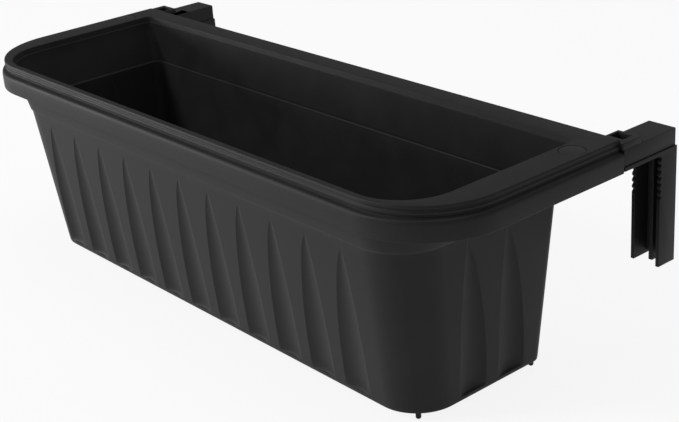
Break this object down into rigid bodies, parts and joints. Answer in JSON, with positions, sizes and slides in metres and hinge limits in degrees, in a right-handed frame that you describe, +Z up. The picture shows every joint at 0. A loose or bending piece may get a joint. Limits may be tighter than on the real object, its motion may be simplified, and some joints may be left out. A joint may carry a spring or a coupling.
{
  "type": "window box planter",
  "caption": "Long window box planter with a rolled rim and fluted tapering walls, hung on a balcony rail by two sliding hook arms with notched legs.",
  "frame": {"origin": "on the ground plane under the middle of the whole part's bounding box, at the tips of the feet", "axes": "+X along the box to its right end, +Y from the front wall to the hooks at the back, +Z up"},
  "size_m": [0.6, 0.2552, 0.185],
  "materials": {
    "trough_plastic": "fine matte grain, black",
    "hook_plastic": "matte, black",
    "plug_plastic": "matte, black"
  },
  "bodies": {
    "box": {"trough": "trough_plastic", "rim_plug_right": "plug_plastic", "rim_plug_left": "plug_plastic"},
    "hook_right": {"hook_arm_right": "hook_plastic", "hook_leg_right": "hook_plastic"},
    "hook_left": {"hook_arm_left": "hook_plastic", "hook_leg_left": "hook_plastic"}
  },
  "joints": [
    {"name": "hook_right_slide", "type": "slide", "parent": "box", "child": "hook_right", "axis": [0, 1, 0], "range_m": [0, 0.05]},
    {"name": "hook_left_slide", "type": "slide", "parent": "box", "child": "hook_left", "axis": [0, 1, 0], "range_m": [0, 0.05]}
  ]
}
